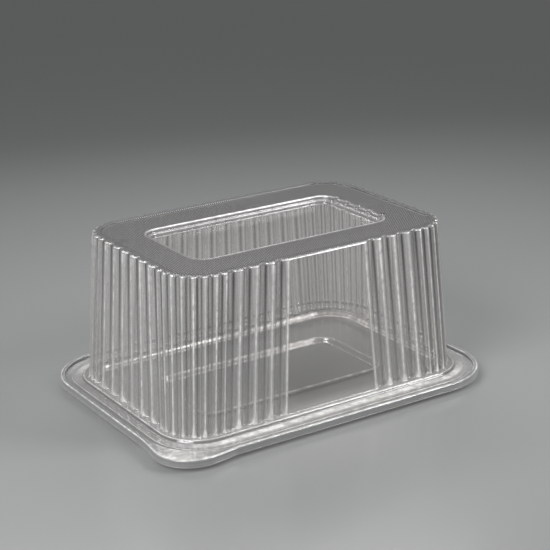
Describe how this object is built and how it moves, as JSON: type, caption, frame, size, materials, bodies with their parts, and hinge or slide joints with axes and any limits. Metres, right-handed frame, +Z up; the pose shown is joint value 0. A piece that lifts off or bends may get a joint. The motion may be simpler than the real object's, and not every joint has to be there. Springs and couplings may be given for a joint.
{
  "type": "clear plastic cake pack",
  "caption": "Clear thermoformed cake pack: flanged base tray with a corner pull tab and a fluted lift-off cover with a plain window and a stacking recess in its top.",
  "frame": {"origin": "middle of the tray's foot, on the surface that the pack stands on", "axes": "X along the long side, the plain window faces -Y, the pull tab is at the corner towards -X and -Y, Z up"},
  "size_m": [0.2335, 0.1772, 0.1],
  "materials": {
    "tray_sheet": "clear, glossy",
    "cover_sheet": "clear, glossy"
  },
  "bodies": {
    "tray": {"base_tray": "tray_sheet"},
    "lid": {"cover": "cover_sheet"}
  },
  "joints": [
    {"name": "cover_lift", "type": "slide", "parent": "tray", "child": "lid", "axis": [0, 0, 1], "range_m": [0, 0.12]}
  ]
}
